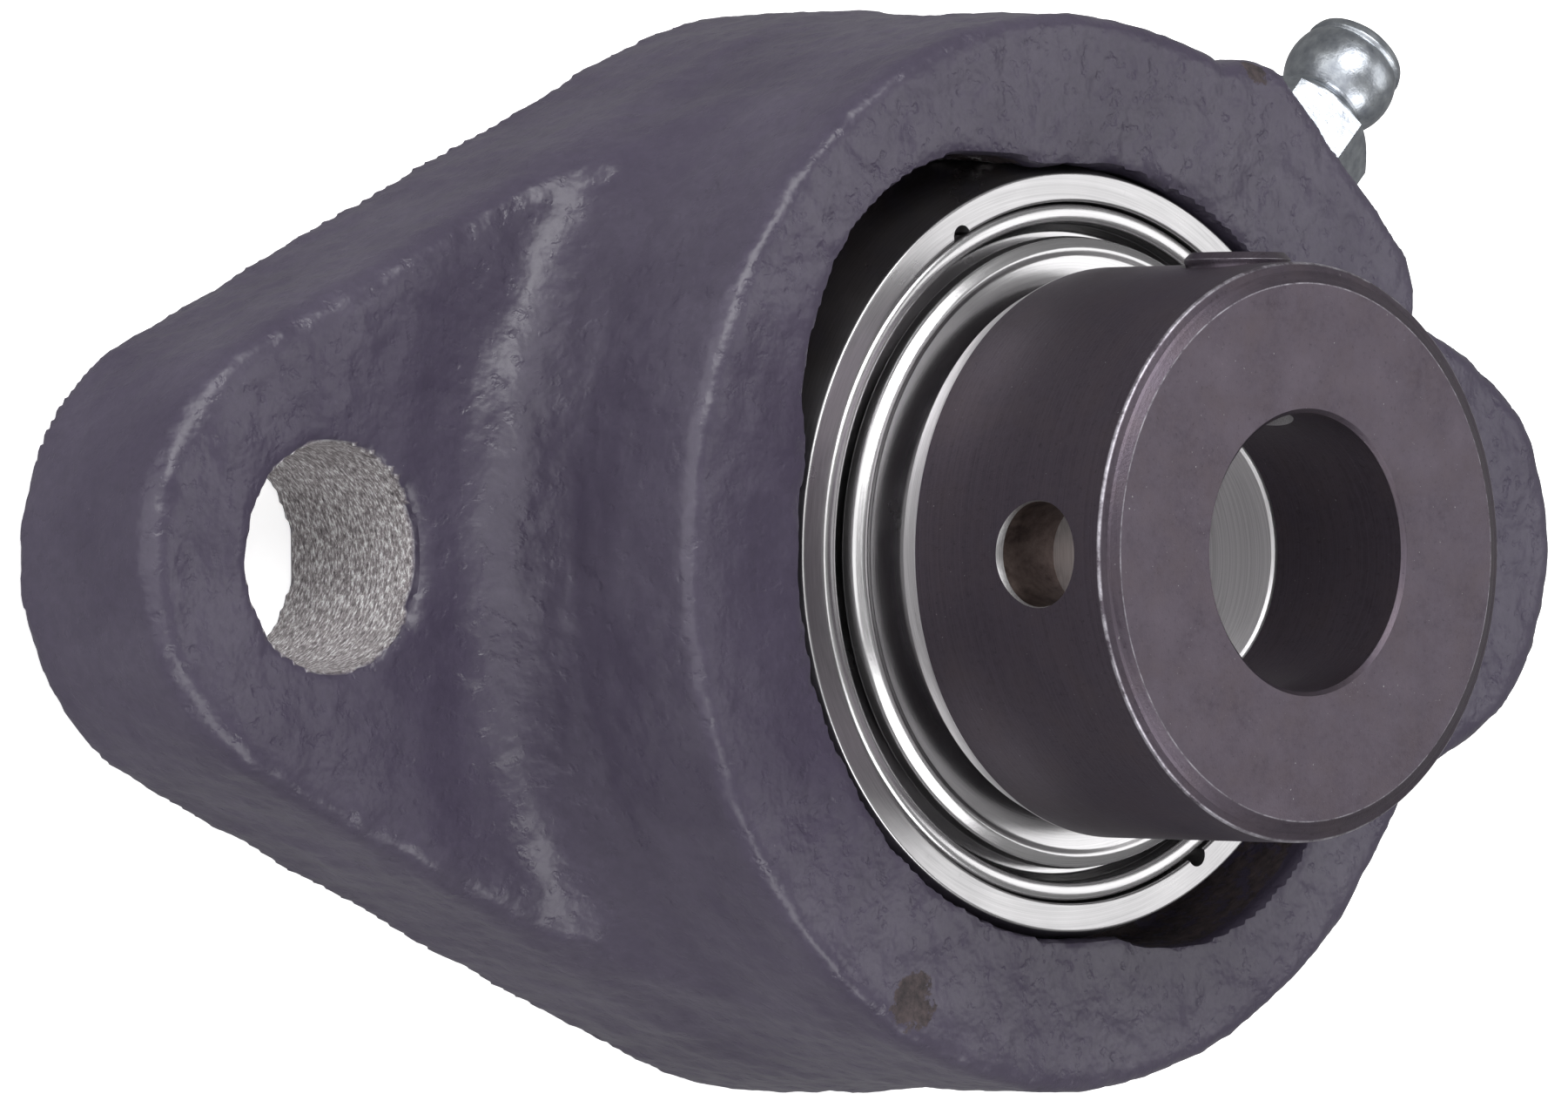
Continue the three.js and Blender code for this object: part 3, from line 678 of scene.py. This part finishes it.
def cast_relief(p, n):
    """How far the sand mould's lumps stand out of the surface."""
    lumps = 0.0
    for height, size, place in LUMPS:
        lumps += height * noise.noise(p / size + Vector(place))
    radius = math.hypot(p.x, p.y)
    if abs(n.z) < 0.6 and radius > SEAT_R + 3:
        along = Vector((p.x * 0.2, p.y * 0.2, p.z * 0.8))
        lumps += 0.05 * noise.noise(along) + 0.08 * noise.noise(p / 0.85)
    elif p.z < FLANGE_T + 1 and radius > HUB_BASE_R:
        ripple = Vector((p.x * 0.30, p.y * 0.05, 0))
        lumps += 0.16 * noise.noise(ripple)
    if abs(radius - SEAT_FRONT_R) < 1.2 and p.z > HUB_H - 3.5:
        lumps += 0.14 * noise.noise(p / 1.5 + Vector((5, 5, 5))) + 0.08 * noise.noise(p / 0.7)
    return lumps


def chipping(p):
    """Rises above a half where the paint is chipped, and inside a loading slot, where it is thin."""
    if p.z > HUB_H - 1:
        return max(0.0, *(1.3 - math.dist((p.x, p.y), (x, y)) / r for x, y, r in PAINT_CHIPS))
    in_slot = MID_Z - 0.5 < p.z < HUB_H - 1.2 and SEAT_R - 0.5 < math.hypot(p.x, p.y) < SEAT_R + 4
    return 0.55 if in_slot else 0.0


def eased(piece):
    """Melts the foot of the saddle into the flange, as the sand mould leaves it."""
    bm = bmesh.new()
    bm.from_mesh(piece.data)
    foot = HUB_BASE_R + SADDLE_R
    near = [v for v in bm.verts if FLANGE_T - 2 < v.co.z / MM < FLANGE_T + SADDLE_R + 1
            and HUB_BASE_R - 1 < math.hypot(v.co.x, v.co.y) / MM < foot + 3]
    for _ in range(EASE_ROUNDS):
        bmesh.ops.smooth_vert(bm, verts=near, factor=0.5, use_axis_x=True, use_axis_y=True, use_axis_z=True)
    bm.to_mesh(piece.data)
    bm.free()


def housing():
    piece = cut(housing_blank(), *housing_cutters())
    skin = piece.modifiers.new("skin", "REMESH")
    skin.mode = "VOXEL"
    skin.voxel_size = SAND * MM
    relax = piece.modifiers.new("relax", "SMOOTH")
    relax.iterations = 2
    settled(piece)
    eased(piece)
    mesh = piece.data
    bare = mesh.attributes.new("bare", "FLOAT", "POINT").data
    chip = mesh.attributes.new("chip", "FLOAT", "POINT").data
    places = []
    for i, vertex in enumerate(mesh.vertices):
        p, n = vertex.co / MM, vertex.normal
        bare[i].value = bareness(p, n)
        chip[i].value = chipping(p)
        relief = 0.0 if bare[i].value else cast_relief(p, n)
        if p.z < 0.3:
            relief = min(relief * 0.2, 0.0)
        if p.z > HUB_H - 1:
            relief -= 0.12 * min(1.0, chip[i].value)
        places += list((p + n * relief) * MM)
    mesh.vertices.foreach_set("co", places)
    dressed(piece, "cast_housing", "housing", [PAINT], ["housing"])


# ------------------------------------------------------------------ insert bearing

def mirrored(outline):
    """The same outline at the back of the ball row."""
    return [(r, -z) for r, z in reversed(outline)]


def raised(outline):
    """From the ball row's plane to the base plane."""
    return [(r, z + MID_Z) for r, z in outline]


def outer_ring():
    groove = PITCH_R + BALL_R + RACE_CLEARANCE - RACE_R
    race = math.degrees(math.acos((OUTER_BORE_R - groove) / RACE_R))
    face_r = math.sqrt(OUTER_SPHERE_R ** 2 - OUTER_HALF_W ** 2)
    tilt = math.degrees(math.asin(OUTER_HALF_W / OUTER_SPHERE_R))
    front = [(face_r, OUTER_HALF_W), (SEAL_SEAT_R, OUTER_HALF_W), (SEAL_SEAT_R, SEAL_SEAT_FLOOR),
             (OUTER_BORE_R, SEAL_SEAT_FLOOR)]
    outline = [*front, *arc(groove, 0, RACE_R, race, -race, 24), *mirrored(front)[:-1],
               *arc(0, 0, OUTER_SPHERE_R, -tilt, tilt, 40)[:-1]]
    piece = turned("outer_ring", raised(rounded(outline, 0.18)))
    for angle in NOTCH_ANGLES:
        for side in (-1, 1):
            middle = MID_Z + side * (OUTER_HALF_W - NOTCH_INSET)
            notch = rod(NOTCH_R, middle - NOTCH_HALF_DEPTH, middle + NOTCH_HALF_DEPTH, 32)
            a = math.radians(angle * side)
            cut(piece, shifted(notch, SEAL_SEAT_R * math.cos(a), SEAL_SEAT_R * math.sin(a)))
    dressed(piece, "ground_outer_ring", "outer_ring", [GROUND], ["outer_ring"])


def inner_ring():
    """The inner ring, whose nose is off-centre from its bore."""
    groove = PITCH_R - BALL_R - RACE_CLEARANCE + RACE_R
    race = math.degrees(math.acos((groove - INNER_R) / RACE_R))
    outside = rounded([(SHAFT_R - CUT_PAST, INNER_BACK), (INNER_R, INNER_BACK, 0.5),
                       (INNER_R, -BALL_R), (INNER_R, BALL_R), (INNER_R, INNER_SHOULDER, 0.3),
                       (SHAFT_R - CUT_PAST, INNER_SHOULDER)], 0.0)
    piece = turned("inner_ring", raised(outside))
    race_cutter = turned("race", raised(arc(groove, 0, RACE_R, 180 + race, 180 - race, 24)
                                        + [(INNER_R + CUT_PAST, RACE_R)] + [(INNER_R + CUT_PAST, -RACE_R)]))
    nose = turned("nose", raised(rounded([
        (SHAFT_R - CUT_PAST, INNER_SHOULDER - CUT_PAST), (STUB_R, INNER_SHOULDER - CUT_PAST),
        (STUB_R, INNER_FRONT, 0.4), (SHAFT_R - CUT_PAST, INNER_FRONT)], 0.0)))
    wide = SHAFT_R + BORE_CHAMFER + CUT_PAST
    bore = turned("bore", raised([
        (0, INNER_BACK - CUT_PAST), (wide, INNER_BACK - CUT_PAST), (SHAFT_R, INNER_BACK + BORE_CHAMFER),
        (SHAFT_R, INNER_FRONT - NOSE_CHAMFER),
        (SHAFT_R + NOSE_CHAMFER + CUT_PAST, INNER_FRONT + CUT_PAST),
        (0, INNER_FRONT + CUT_PAST)]))
    cut(piece, race_cutter)
    combined(piece, "UNION", shifted(nose, ECCENTRICITY))
    cut(piece, bore)
    dressed(piece, "ground_inner_ring", "inner_ring", [BORE_STEEL], ["inner_ring"])


def carrier_outline():
    """A pressed steel cup: a rolled bead against the outer ring, and a floor that runs in."""
    hem = CARRIER_HEM_R - CARRIER_T
    return rounded([(CARRIER_EYE_R, CARRIER_FLOOR, 0.1), (CARRIER_R, CARRIER_FLOOR, 0.3),
                    (CARRIER_R, CARRIER_CROWN, 0.55), (CARRIER_HEM_R, CARRIER_CROWN, 0.55),
                    (CARRIER_HEM_R, CARRIER_FLOOR + 2 * CARRIER_T, 0.2),
                    (hem, CARRIER_FLOOR + CARRIER_T, 0.2), (CARRIER_EYE_R, CARRIER_FLOOR + CARRIER_T, 0.1)])


def flinger_outline():
    """A pressed disc with a raised rim, which turns in front of the seal."""
    top, land = FLINGER_FLOOR + FLINGER_T, FLINGER_CROWN - 0.14
    return rounded([(FLINGER_BORE_R, FLINGER_FLOOR, 0.1), (FLINGER_R - 1.2, FLINGER_FLOOR + 0.2, 0.3),
                    (FLINGER_R, top, 0.15), (FLINGER_R - 0.12, FLINGER_CROWN - 0.42, 0.3),
                    (FLINGER_CROWN_R, FLINGER_CROWN, 0.5), (FLINGER_CROWN_R - 0.45, land, 0.4),
                    (FLINGER_BORE_R + 1.2, land + 0.05, 0.6), (FLINGER_BORE_R, land - 0.1, 0.15)])


def lip_outline():
    """A rubber ring under the cup's floor, thinner towards the inner ring."""
    outer, z = CARRIER_EYE_R - 0.1, CARRIER_FLOOR - 0.1
    return rounded([(LIP_R, z, 0.05), (outer, z, 0.1), (outer, z + LIP_T, 0.1),
                    (LIP_TOP_R, z + LIP_T, 0.3)])


def seals():
    rings = (("seal_carrier", carrier_outline, "outer_ring", "seal_steel", PRESSED),
             ("seal_lip", lip_outline, "outer_ring", "seal_rubber", RUBBER),
             ("flinger", flinger_outline, "inner_ring", "seal_steel", PRESSED))
    for side in ("front", "rear"):
        for name, outline, body, slot, material in rings:
            shape = outline() if side == "front" else mirrored(outline())
            piece = turned(name, raised(shape))
            dressed(piece, f"{side}_{name}_piece", body, [material], [f"{side}_{name}"])


def balls_and_cage():
    """The rolling elements inside, smooth and riveted."""
    for i in range(BALLS):
        a = 2 * math.pi * i / BALLS
        half = [(r, z) for r, z in arc(0, 0, BALL_R, -90, 90, 40)]
        half[0], half[-1] = (0.0, -BALL_R), (0.0, BALL_R)
        ball = shifted(turned("ball", raised(half), SMALL), PITCH_R * math.cos(a), PITCH_R * math.sin(a))
        name = f"ball_{i + 1}"
        dressed(ball, f"bearing_{name}", name, [BALL_STEEL], [name])
    for name in ("cage_front", "cage_rear", *(f"cage_rivet_{i + 1}" for i in range(BALLS))):
        carried(name, CAGE_STEEL)


def carried(name, material):
    """A CAD node whose shape is right keeps it, and gets the material."""
    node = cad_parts[name]
    for slot in node.material_slots:
        slot.material = material


# ------------------------------------------------------------------ locking collar

def locking_collar():
    edge = COLLAR_FRONT - COLLAR_EDGE * 0.7
    outside = rounded([
        (COLLAR_BORE_R, COLLAR_BACK, 0.05), (COLLAR_BACK_R, COLLAR_BACK, 0.25),
        (COLLAR_R, COLLAR_SHOULDER, 0.2), (COLLAR_R, edge, 0.25), (COLLAR_R - 0.52, edge + 0.18, 0),
        (COLLAR_R - 0.67, edge + 0.28, 0), (COLLAR_FACE_R, COLLAR_FRONT, 0),
        (COLLAR_BORE_R + 0.25, COLLAR_FRONT, 0.05), (COLLAR_BORE_R, COLLAR_FRONT - 0.25, 0.05)])
    piece = turned("locking_collar", finely(outside, 0.45))
    for material in (OXIDE, DRILLED, WORN):
        piece.data.materials.append(material)
    for face in piece.data.polygons:
        middle = face.center / MM
        if math.hypot(middle.x, middle.y) > COLLAR_BACK_R - 0.3 and middle.z < COLLAR_SHOULDER + 0.1:
            face.material_index = 2
    recess = rod(RECESS_R, COLLAR_BACK - CUT_PAST, RECESS_TO, ROUND)
    counterbore = shifted(rod(COUNTERBORE_R, COLLAR_BACK - CUT_PAST, COUNTERBORE_TO, ROUND), ECCENTRICITY)
    drift = turned("drift", hole_outline(DRIFT_HOLE_R, COLLAR_R - DRIFT_HOLE_DEPTH), 128)
    screw = turned("screw", hole_outline(SCREW_HOLE_R, COLLAR_BORE_R - CUT_PAST), 128)
    for hole in (drift, screw):
        for material in (OXIDE, DRILLED, WORN):
            hole.data.materials.append(material)
        for face in hole.data.polygons:
            face.material_index = 2 if is_bright(face.center.z / MM) else 1
    cut(piece, recess, counterbore, outward(drift, 180, SCREW_Z), outward(screw, 90, SCREW_Z))
    dressed(piece, "blackened_locking_collar", "locking_collar",
            [OXIDE, DRILLED, WORN], ["locking_collar"])


def is_bright(height):
    """Whether a hole's wall is rubbed or freshly cut here: round its mouth and on its floor."""
    return height > COLLAR_R - HOLE_RIM or height < COLLAR_R - DRIFT_HOLE_DEPTH + 0.01


def hole_outline(radius, floor):
    """A hole into the collar from its outside, with a narrow bright chamfer round its mouth."""
    low, high = COLLAR_R - HOLE_RIM, COLLAR_R + CUT_PAST
    flare = radius + (high - low) * HOLE_FLARE
    return [(0, floor), (radius, floor), (radius, low), (flare, high), (0, high)]


def threaded(piece, radius, pitch, low, high):
    """Cuts a thread's grooves into the part of a turned piece between two heights."""
    for vertex in piece.data.vertices:
        p = vertex.co / MM
        r = math.hypot(p.x, p.y)
        if abs(r - radius) > 0.02 or not low < p.z < high:
            continue
        turns = p.z / pitch - math.atan2(p.y, p.x) / (2 * math.pi)
        depth = THREAD_DEPTH * 2 * abs(turns - math.floor(turns) - 0.5)
        fade = min(1.0, (p.z - low) / pitch, (high - p.z) / pitch)
        shrink = (r - depth * fade) / r
        vertex.co = Vector((p.x * shrink, p.y * shrink, p.z)) * MM
    return piece


def set_screw():
    """A cup-point screw whose head end stands a little proud of the collar."""
    cone = SCREW_R - SCREW_CUP_R
    shoulder = SCREW_HEAD - THREAD_CHAMFER
    outline = rounded([(0, SCREW_TIP + cone / 2, 0), (SCREW_CUP_R - SCREW_CUP_LIP, SCREW_TIP, 0.05),
                       (SCREW_CUP_R, SCREW_TIP, 0.05), (SCREW_R, SCREW_TIP + cone, 0.05),
                       (SCREW_R, shoulder, 0.05), (SCREW_R - THREAD_CHAMFER, SCREW_HEAD, 0.05),
                       (0, SCREW_HEAD, 0)])
    piece = turned("set_screw", finely(outline, THREAD_STEP), SMALL)
    threaded(piece, SCREW_R, SCREW_PITCH, SCREW_TIP + cone, shoulder)
    socket = rod(SOCKET_R, SCREW_HEAD - SOCKET_DEPTH, SCREW_HEAD + CUT_PAST, 6)
    cut(piece, socket)
    outward(piece, 90, SCREW_Z)
    dressed(piece, "socket_set_screw", "set_screw", [OXIDE], ["set_screw"])


# ------------------------------------------------------------------ grease fitting

def at_fitting(piece):
    """From the fitting's own axis to its place in the boss."""
    moved(piece, Matrix.Translation((0, 0, BOSS_FLAT * MM)))
    return outward(piece, BOSS_ANGLE, FITTING_Z)


def hexagon():
    """The wrench hexagon, with its corners turned off at both ends."""
    blank = rod(HEX_R, HEX_FROM, HEX_TO, 6)
    flats = HEX_R * math.cos(math.pi / 6)
    limit = turned("limit", [(0, HEX_FROM - 0.1), (flats, HEX_FROM), (HEX_R, HEX_FROM + 0.35),
                             (HEX_R, HEX_TO - 0.35), (flats, HEX_TO), (0, HEX_TO + 0.1)], SMALL)
    return combined(blank, "INTERSECT", limit)


def grease_fitting():
    below = math.degrees(math.asin(NECK_R / HEAD_R))
    above = 23
    lobe = [(3.0, HEAD_AT + 1.5, 0.08), (3.2, HEAD_AT + 1.72, 0.15), (3.02, HEAD_AT + 2.3, 0.5),
            (2.1, HEAD_TIP, 0.5), (0, HEAD_TIP, 0)]
    end, chamfer = -FITTING_THREAD_L, THREAD_CHAMFER
    shank = rounded([(0, end, 0), (FITTING_THREAD_R - chamfer, end, 0.05),
                     (FITTING_THREAD_R, chamfer + end, 0.05), (FITTING_THREAD_R, HEX_FROM, 0),
                     (FLARE_R - 0.1, HEX_TO, 0), (FLARE_R, FLARE_TO, 0.4), (NECK_R, NECK_AT, 0.4),
                     *arc(0, HEAD_AT, HEAD_R, below - 90, above, 20), *lobe], 0.0)
    piece = turned("grease_fitting", finely(shank, 0.2), 96)
    threaded(piece, FITTING_THREAD_R, SCREW_PITCH, end + chamfer, HEX_FROM)
    bore = turned("bore", [(0, end - CUT_PAST), (FITTING_INLET_R, end - CUT_PAST),
                           (FITTING_INLET_R, SPRING_SHELF), (FITTING_BORE_R, SPRING_SHELF),
                           (FITTING_BORE_R, MOUTH_CONE[0]), (FITTING_MOUTH_R, MOUTH_CONE[1]),
                           (FITTING_MOUTH_R, HEAD_TIP + CUT_PAST), (0, HEAD_TIP + CUT_PAST)], 48)
    combined(piece, "UNION", hexagon())
    cut(piece, bore)
    at_fitting(piece)
    dressed(piece, "zinc_grease_fitting", "housing", [ZINC], ["grease_fitting"])


def check_ball():
    half = arc(0, CHECK_BALL_AT, CHECK_BALL_R, -90, 90, 24)
    half[0], half[-1] = (0.0, half[0][1]), (0.0, half[-1][1])
    ball = at_fitting(turned("check_ball", half, 48))
    dressed(ball, "grease_check_ball_piece", "grease_check_ball", [BALL_STEEL],
            ["grease_check_ball"])


def grease_spring():
    """The coil spring behind the check ball, made at one length; the real one shortens as the ball goes in.
    """
    low = SPRING_SHELF + SPRING_GAP + SPRING_WIRE_R
    high = CHECK_BALL_AT - CHECK_BALL_R - SPRING_GAP - SPRING_WIRE_R
    steps = SPRING_TURNS * SPRING_STEPS
    rings = []
    for k in range(steps + 1):
        a = 2 * math.pi * k / SPRING_STEPS
        section = arc(SPRING_R, low + (high - low) * k / steps, SPRING_WIRE_R, 0, 330, 11)
        rings.append([(r * math.cos(a), r * math.sin(a), z) for r, z in section])
    spring = at_fitting(lofted("spring", rings))
    dressed(spring, "grease_spring_piece", "housing", [SPRING_STEEL], ["grease_spring"])
    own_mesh(spring)


# ------------------------------------------------------------------ stage

def floor():
    """A plain pale floor that gives a little light of its own."""
    f = Finish("pale_floor", Roughness=0.8, Base_Color=grey(0.9), Specular_IOR_Level=0.2)
    f.set(Emission_Color=grey(1.0), Emission_Strength=FLOOR_GLOW)
    half = FLOOR_SIZE / 2
    mesh = bpy.data.meshes.new("floor")
    mesh.from_pydata([(-half, -half, 0), (half, -half, 0), (half, half, 0), (-half, half, 0)], [],
                     [(0, 1, 2, 3)])
    mesh.materials.append(f.material)
    sheet = bpy.data.objects.new("floor", mesh)
    sheet.location.z = -FLOOR_DROP * MM
    bpy.context.scene.collection.objects.link(sheet)
    sheet.visible_glossy = False    # so that the casting's sides reflect the dim room instead


def softbox(name, place, size, power):
    """A rectangular area light that faces the bearing."""
    light = bpy.data.lights.new(name, "AREA")
    light.shape = "RECTANGLE"
    light.size, light.size_y = size
    light.energy = power
    lamp = bpy.data.objects.new(name, light)
    lamp.location = place
    lamp.rotation_euler = (Vector((0, 0, 0.02)) - Vector(place)).to_track_quat("-Z", "Y").to_euler()
    bpy.context.scene.collection.objects.link(lamp)


def camera():
    eye = bpy.data.cameras.new("camera")
    eye.sensor_width = SENSOR
    eye.lens = LENS
    eye.clip_start = 0.05
    holder = bpy.data.objects.new("camera", eye)
    holder.location = CAMERA_AT
    holder.rotation_euler = Euler([math.radians(a) for a in CAMERA_TURN])
    bpy.context.scene.collection.objects.link(holder)
    bpy.context.scene.camera = holder




def stage():
    floor()
    camera()
    for name, (place, size, power) in LIGHTS.items():
        softbox(name, place, size, power)
    world = bpy.data.worlds.new("studio")
    world.use_nodes = True
    world.node_tree.nodes["Background"].inputs["Color"].default_value = grey(WORLD)
    bpy.context.scene.world = world
    bpy.context.scene.view_settings.view_transform = "Standard"


stage()
housing()
outer_ring()
inner_ring()
seals()
balls_and_cage()
locking_collar()
set_screw()
grease_fitting()
check_ball()
grease_spring()
